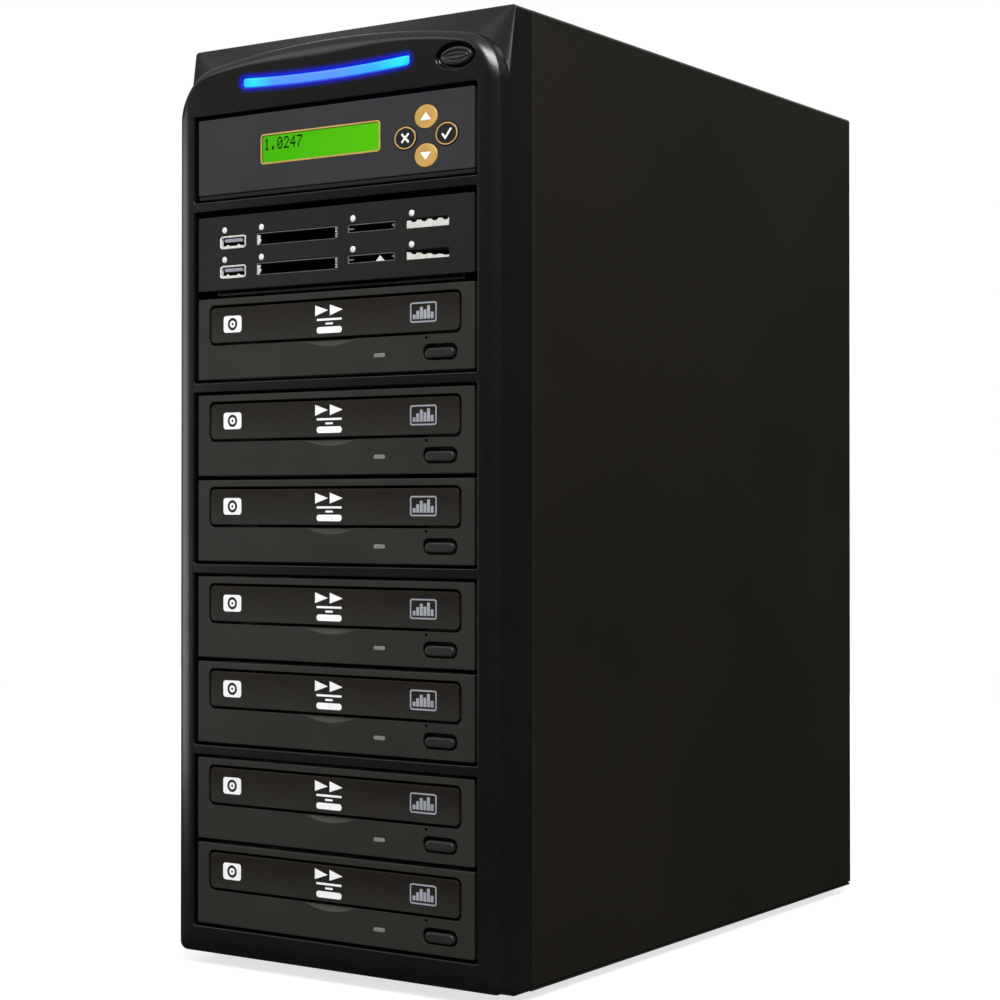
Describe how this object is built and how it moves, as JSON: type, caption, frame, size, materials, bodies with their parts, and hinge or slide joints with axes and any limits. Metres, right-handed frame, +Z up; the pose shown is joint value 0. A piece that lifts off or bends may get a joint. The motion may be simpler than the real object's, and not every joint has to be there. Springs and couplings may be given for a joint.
{
  "type": "disc duplicator tower",
  "caption": "Black tower disc duplicator with lit display, keys, card reader and a stack of sliding disc trays behind a moulded front with an arched brow.",
  "frame": {"origin": "on the floor under the middle of the tower's bounding box", "axes": "+X to the right seen from the front, +Y from the front to the back, +Z up"},
  "size_m": [0.19, 0.366, 0.446],
  "materials": {
    "front_plastic": "semi-gloss moulded",
    "cover_paint": "satin",
    "chassis_steel": "zinc plated",
    "rear_paint": "satin",
    "lens_blue": "clear, lit",
    "control_plastic": "fine satin",
    "display_green": "smooth, lit",
    "key_gold": "gloss",
    "key_black": "gloss",
    "reader_plastic": "matt",
    "socket_metal": "plated",
    "board_green": "matt",
    "drive_plastic": "fine texture",
    "door_plastic": "fine texture",
    "tray_plastic": "matt",
    "loader_plastic": "matt",
    "lamp_lens": "clear",
    "fan_plastic": "matt",
    "inlet_plastic": "matt",
    "foot_rubber": "matt"
  },
  "bodies": {
    "case": {"chassis_base": "rear_paint", "feet": "foot_rubber", "front_frame": "chassis_steel", "drive_cage": "chassis_steel", "rear_panel": "rear_paint", "psu_case": "chassis_steel", "mains_inlet": "inlet_plastic", "fan_frames": "fan_plastic", "cover": "cover_paint", "front_bezel": "front_plastic", "light_bar": "lens_blue", "header_board": "board_green", "bay_brackets": "chassis_steel", "control_faceplate": "control_plastic", "display_module": "display_green", "control_board": "board_green", "reader_faceplate": "reader_plastic", "reader_sockets": "socket_metal", "reader_board": "board_green", "drive_shells": "chassis_steel", "drive_loaders": "loader_plastic", "status_lamps": "lamp_lens", "drive_bezel_1": "drive_plastic", "drive_bezel_2": "drive_plastic", "drive_bezel_3": "drive_plastic", "drive_bezel_4": "drive_plastic", "drive_bezel_5": "drive_plastic", "drive_bezel_6": "drive_plastic", "drive_bezel_7": "drive_plastic"},
    "disc_tray_1": {"tray_1": "tray_plastic", "tray_door_1": "door_plastic"},
    "disc_tray_2": {"tray_2": "tray_plastic", "tray_door_2": "door_plastic"},
    "disc_tray_3": {"tray_3": "tray_plastic", "tray_door_3": "door_plastic"},
    "disc_tray_4": {"tray_4": "tray_plastic", "tray_door_4": "door_plastic"},
    "disc_tray_5": {"tray_5": "tray_plastic", "tray_door_5": "door_plastic"},
    "disc_tray_6": {"tray_6": "tray_plastic", "tray_door_6": "door_plastic"},
    "disc_tray_7": {"tray_7": "tray_plastic", "tray_door_7": "door_plastic"},
    "eject_1": {"eject_key_1": "drive_plastic"},
    "eject_2": {"eject_key_2": "drive_plastic"},
    "eject_3": {"eject_key_3": "drive_plastic"},
    "eject_4": {"eject_key_4": "drive_plastic"},
    "eject_5": {"eject_key_5": "drive_plastic"},
    "eject_6": {"eject_key_6": "drive_plastic"},
    "eject_7": {"eject_key_7": "drive_plastic"},
    "up_press_key": {"up_key": "key_gold"},
    "down_press_key": {"down_key": "key_gold"},
    "cancel_press_key": {"cancel_key": "key_black"},
    "accept_press_key": {"accept_key": "key_black"},
    "power_press_button": {"power_button": "front_plastic"},
    "rocker": {"power_rocker": "key_black"},
    "fan_impeller_upper": {"fan_rotor_upper": "fan_plastic"},
    "fan_impeller_lower": {"fan_rotor_lower": "fan_plastic"},
    "psu_fan_impeller": {"psu_fan_rotor": "fan_plastic"}
  },
  "joints": [
    {"name": "tray_1_slide", "type": "slide", "parent": "case", "child": "disc_tray_1", "axis": [0, -1, 0], "range_m": [0, 0.136]},
    {"name": "tray_2_slide", "type": "slide", "parent": "case", "child": "disc_tray_2", "axis": [0, -1, 0], "range_m": [0, 0.136]},
    {"name": "tray_3_slide", "type": "slide", "parent": "case", "child": "disc_tray_3", "axis": [0, -1, 0], "range_m": [0, 0.136]},
    {"name": "tray_4_slide", "type": "slide", "parent": "case", "child": "disc_tray_4", "axis": [0, -1, 0], "range_m": [0, 0.136]},
    {"name": "tray_5_slide", "type": "slide", "parent": "case", "child": "disc_tray_5", "axis": [0, -1, 0], "range_m": [0, 0.136]},
    {"name": "tray_6_slide", "type": "slide", "parent": "case", "child": "disc_tray_6", "axis": [0, -1, 0], "range_m": [0, 0.136]},
    {"name": "tray_7_slide", "type": "slide", "parent": "case", "child": "disc_tray_7", "axis": [0, -1, 0], "range_m": [0, 0.136]},
    {"name": "eject_1_press", "type": "slide", "parent": "case", "child": "eject_1", "axis": [0, 1, 0], "range_m": [0, 0.001], "stiffness_N_per_m": 400, "springref_m": -0.0005},
    {"name": "eject_2_press", "type": "slide", "parent": "case", "child": "eject_2", "axis": [0, 1, 0], "range_m": [0, 0.001], "stiffness_N_per_m": 400, "springref_m": -0.0005},
    {"name": "eject_3_press", "type": "slide", "parent": "case", "child": "eject_3", "axis": [0, 1, 0], "range_m": [0, 0.001], "stiffness_N_per_m": 400, "springref_m": -0.0005},
    {"name": "eject_4_press", "type": "slide", "parent": "case", "child": "eject_4", "axis": [0, 1, 0], "range_m": [0, 0.001], "stiffness_N_per_m": 400, "springref_m": -0.0005},
    {"name": "eject_5_press", "type": "slide", "parent": "case", "child": "eject_5", "axis": [0, 1, 0], "range_m": [0, 0.001], "stiffness_N_per_m": 400, "springref_m": -0.0005},
    {"name": "eject_6_press", "type": "slide", "parent": "case", "child": "eject_6", "axis": [0, 1, 0], "range_m": [0, 0.001], "stiffness_N_per_m": 400, "springref_m": -0.0005},
    {"name": "eject_7_press", "type": "slide", "parent": "case", "child": "eject_7", "axis": [0, 1, 0], "range_m": [0, 0.001], "stiffness_N_per_m": 400, "springref_m": -0.0005},
    {"name": "up_key_press", "type": "slide", "parent": "case", "child": "up_press_key", "axis": [0, 1, 0], "range_m": [0, 0.0008], "stiffness_N_per_m": 400, "springref_m": -0.0005},
    {"name": "down_key_press", "type": "slide", "parent": "case", "child": "down_press_key", "axis": [0, 1, 0], "range_m": [0, 0.0008], "stiffness_N_per_m": 400, "springref_m": -0.0005},
    {"name": "cancel_key_press", "type": "slide", "parent": "case", "child": "cancel_press_key", "axis": [0, 1, 0], "range_m": [0, 0.0008], "stiffness_N_per_m": 400, "springref_m": -0.0005},
    {"name": "accept_key_press", "type": "slide", "parent": "case", "child": "accept_press_key", "axis": [0, 1, 0], "range_m": [0, 0.0008], "stiffness_N_per_m": 400, "springref_m": -0.0005},
    {"name": "power_press", "type": "slide", "parent": "case", "child": "power_press_button", "axis": [0, 1, 0], "range_m": [0, 0.002], "stiffness_N_per_m": 300, "springref_m": -0.001},
    {"name": "power_rocker_tilt", "type": "hinge", "parent": "case", "child": "rocker", "pos_m": [-0.045, 0.17679, 0.062], "axis": [0, 0, 1], "range_deg": [-16, 0]},
    {"name": "fan_rotor_upper_spin", "type": "hinge", "parent": "case", "child": "fan_impeller_upper", "pos_m": [0, 0.16649, 0.27], "axis": [0, 1, 0], "continuous": true},
    {"name": "fan_rotor_lower_spin", "type": "hinge", "parent": "case", "child": "fan_impeller_lower", "pos_m": [0, 0.16649, 0.165], "axis": [0, 1, 0], "continuous": true},
    {"name": "psu_fan_rotor_spin", "type": "hinge", "parent": "case", "child": "psu_fan_impeller", "pos_m": [0.03, 0.16549, 0.048], "axis": [0, 1, 0], "continuous": true}
  ]
}
